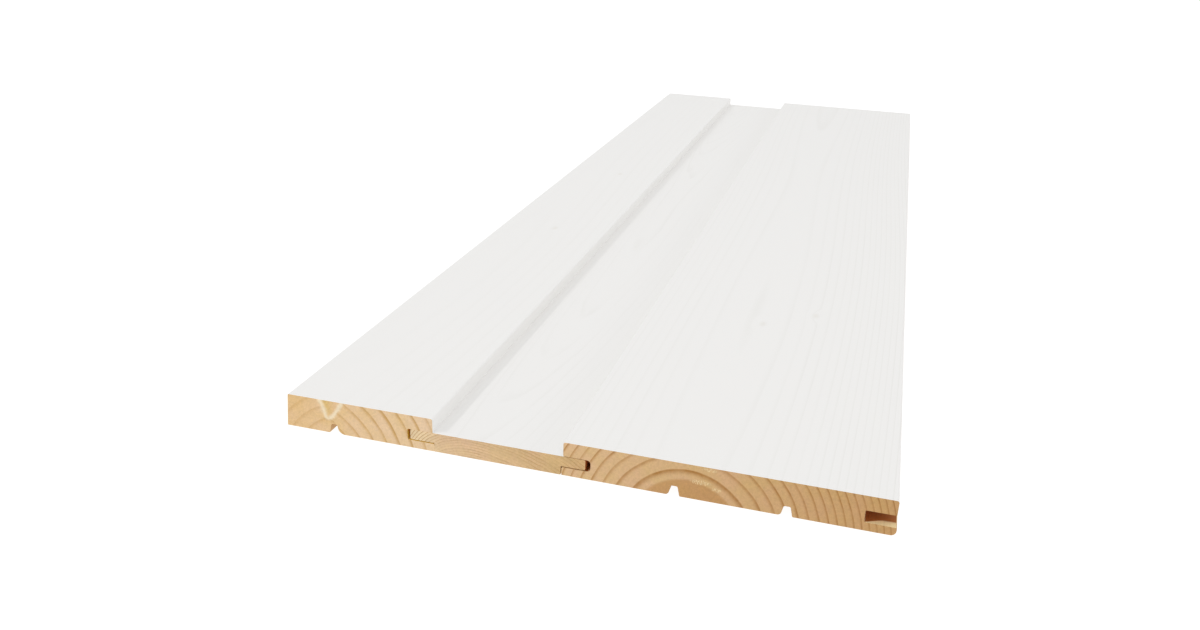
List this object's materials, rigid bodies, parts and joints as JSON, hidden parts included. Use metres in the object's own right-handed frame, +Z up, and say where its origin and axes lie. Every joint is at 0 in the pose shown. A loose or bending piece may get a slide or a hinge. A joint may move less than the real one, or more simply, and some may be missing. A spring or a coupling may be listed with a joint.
{
  "type": "tongue and groove panel section",
  "caption": "Section of white-painted pine lining: grooved boards joined by a thinner double-tongued strip, with relief kerfs in the back and a free groove along one edge.",
  "frame": {"origin": "middle of the panel's footprint, on the plane of its back", "axes": "+X across the boards, from the cut board to the free groove; +Y along the boards; +Z up out of the painted face"},
  "size_m": [0.2366, 0.7, 0.014],
  "materials": {
    "white_painted_pine": "satin off-white paint on the faces and on the edges that show, bare pale pine on the ends, in the grooves and on the backs"
  },
  "bodies": {
    "root": {"cut_grooved_board": "white_painted_pine", "tongued_strip": "white_painted_pine", "full_grooved_board": "white_painted_pine"}
  },
  "joints": []
}
